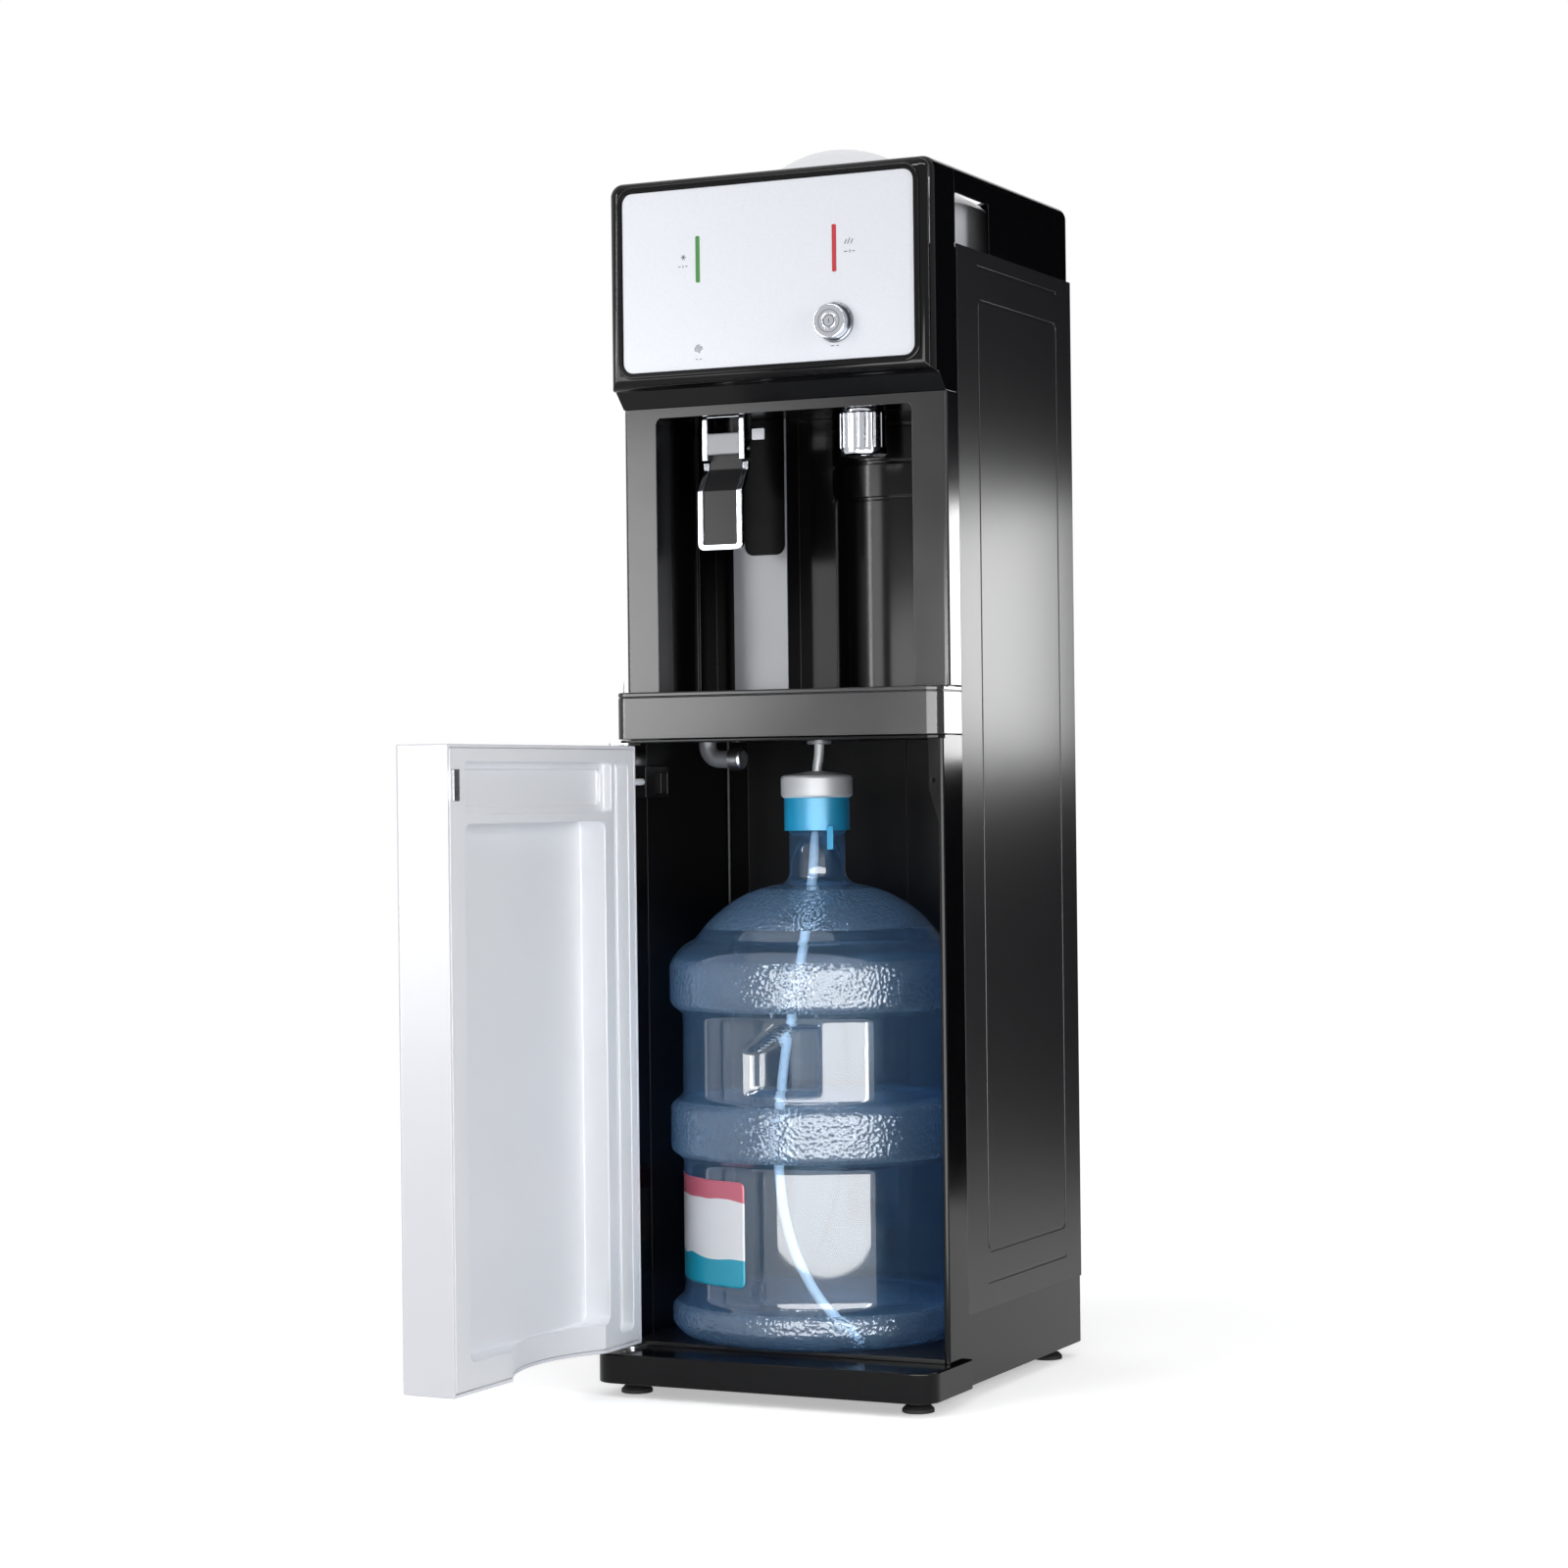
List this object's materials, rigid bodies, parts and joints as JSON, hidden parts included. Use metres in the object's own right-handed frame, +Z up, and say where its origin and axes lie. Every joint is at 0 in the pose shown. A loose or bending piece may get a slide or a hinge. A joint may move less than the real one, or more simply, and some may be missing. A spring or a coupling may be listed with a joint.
{
  "type": "bottom load water cooler",
  "caption": "Free-standing bottom load water cooler with hot and cold taps, a drip tray, and a hinged door open on its water bottle and suction hose.",
  "frame": {"origin": "on the floor, under the middle of the cabinet's width and of its depth with the door closed", "axes": "+X to the right of someone facing the taps, +Y to the back, +Z up"},
  "size_m": [0.3543, 0.6422, 1.114],
  "materials": {
    "black_gloss": "high gloss",
    "black_satin": "satin",
    "textured_steel": "fine textured coating",
    "galvanised_steel": "galvanised",
    "black_enamel": "satin enamel",
    "silver_panel": "satin silver",
    "chrome_plating": "polished",
    "white_gloss": "gloss",
    "liner_white": "satin",
    "grey_plastic": "satin",
    "green_lens": "translucent",
    "red_lens": "translucent",
    "blue_polycarbonate": "transparent",
    "cyan_cap": "satin",
    "white_plastic": "satin",
    "clear_tube": "clear",
    "black_rubber": "matte",
    "steel_pin": "turned",
    "stainless": "satin",
    "foam": "matte",
    "circuit_board": "satin",
    "lamp_lens": "frosted"
  },
  "bodies": {
    "cabinet": {"levelling_feet": "black_rubber", "base_lip": "black_gloss", "base_rear": "black_gloss", "bottle_platform": "black_satin", "side_panel_left": "textured_steel", "side_panel_right": "textured_steel", "rear_panel": "galvanised_steel", "mains_inlet": "black_satin", "drain_plugs": "white_plastic", "condenser": "black_enamel", "front_frame": "black_gloss", "bottle_bay_liner": "black_satin", "machine_deck": "galvanised_steel", "hinge_brackets": "galvanised_steel", "door_switch_case": "black_satin", "drain_elbow": "grey_plastic", "drain_coupling": "stainless", "niche_frame": "black_gloss", "niche_liner": "black_satin", "splash_panel": "silver_panel", "splash_inset": "black_gloss", "niche_lamp": "lamp_lens", "head_bezel": "black_gloss", "panel_trim": "black_gloss", "control_panel": "silver_panel", "cold_indicator": "green_lens", "hot_indicator": "red_lens", "power_indicator": "chrome_plating", "button_bezel": "chrome_plating", "control_board": "circuit_board", "top_hood": "black_gloss", "top_deck": "black_satin", "hot_outlet": "chrome_plating", "tap_bracket": "chrome_plating", "lever_pin": "steel_pin", "tap_cover": "grey_plastic", "cold_spout": "black_satin", "bottle": "blue_polycarbonate", "bottle_cap": "cyan_cap", "probe_cap": "white_plastic", "suction_hose": "clear_tube", "hose_gland": "grey_plastic", "compressor": "black_enamel", "compressor_mounts": "black_rubber", "cold_tank": "stainless", "tank_insulation": "foam", "tank_shelf": "galvanised_steel", "hot_tank": "stainless", "water_pump": "black_satin", "water_tubes": "clear_tube"},
    "door": {"door_shell": "white_gloss", "door_liner": "liner_white", "door_magnet": "steel_pin"},
    "drip_tray": {"drip_tray": "black_gloss"},
    "tray_grille": {"tray_grille": "black_gloss"},
    "tap_lever": {"lever_frame": "chrome_plating", "lever_paddle": "black_satin"},
    "hot_button": {"hot_safety_button": "chrome_plating"},
    "top_lid": {"top_lid": "white_gloss"},
    "door_switch": {"door_switch_plunger": "white_plastic"}
  },
  "joints": [
    {"name": "door_hinge", "type": "hinge", "parent": "cabinet", "child": "door", "pos_m": [-0.1495, -0.1495, 0.3], "axis": [0, 0, -1], "range_deg": [-91, 24]},
    {"name": "tray_slide", "type": "slide", "parent": "cabinet", "child": "drip_tray", "axis": [0, -1, 0], "range_m": [0, 0.12]},
    {"name": "grille_lift", "type": "slide", "parent": "drip_tray", "child": "tray_grille", "axis": [0, 0, 1], "range_m": [0, 0.03]},
    {"name": "lever_pivot", "type": "hinge", "parent": "cabinet", "child": "tap_lever", "pos_m": [-0.067, -0.088, 0.836], "axis": [1, 0, 0], "range_deg": [0, 12], "stiffness_Nm_per_rad": 0.1, "springref_deg": -17.19},
    {"name": "button_press", "type": "slide", "parent": "cabinet", "child": "hot_button", "axis": [0, 1, 0], "range_m": [0, 0.004], "stiffness_N_per_m": 300, "springref_m": -0.002},
    {"name": "lid_lift", "type": "slide", "parent": "cabinet", "child": "top_lid", "axis": [0, 0, 1], "range_m": [0, 0.08]},
    {"name": "switch_press", "type": "slide", "parent": "cabinet", "child": "door_switch", "axis": [0, 1, 0], "range_m": [0, 0.004], "stiffness_N_per_m": 200, "springref_m": -0.002}
  ]
}
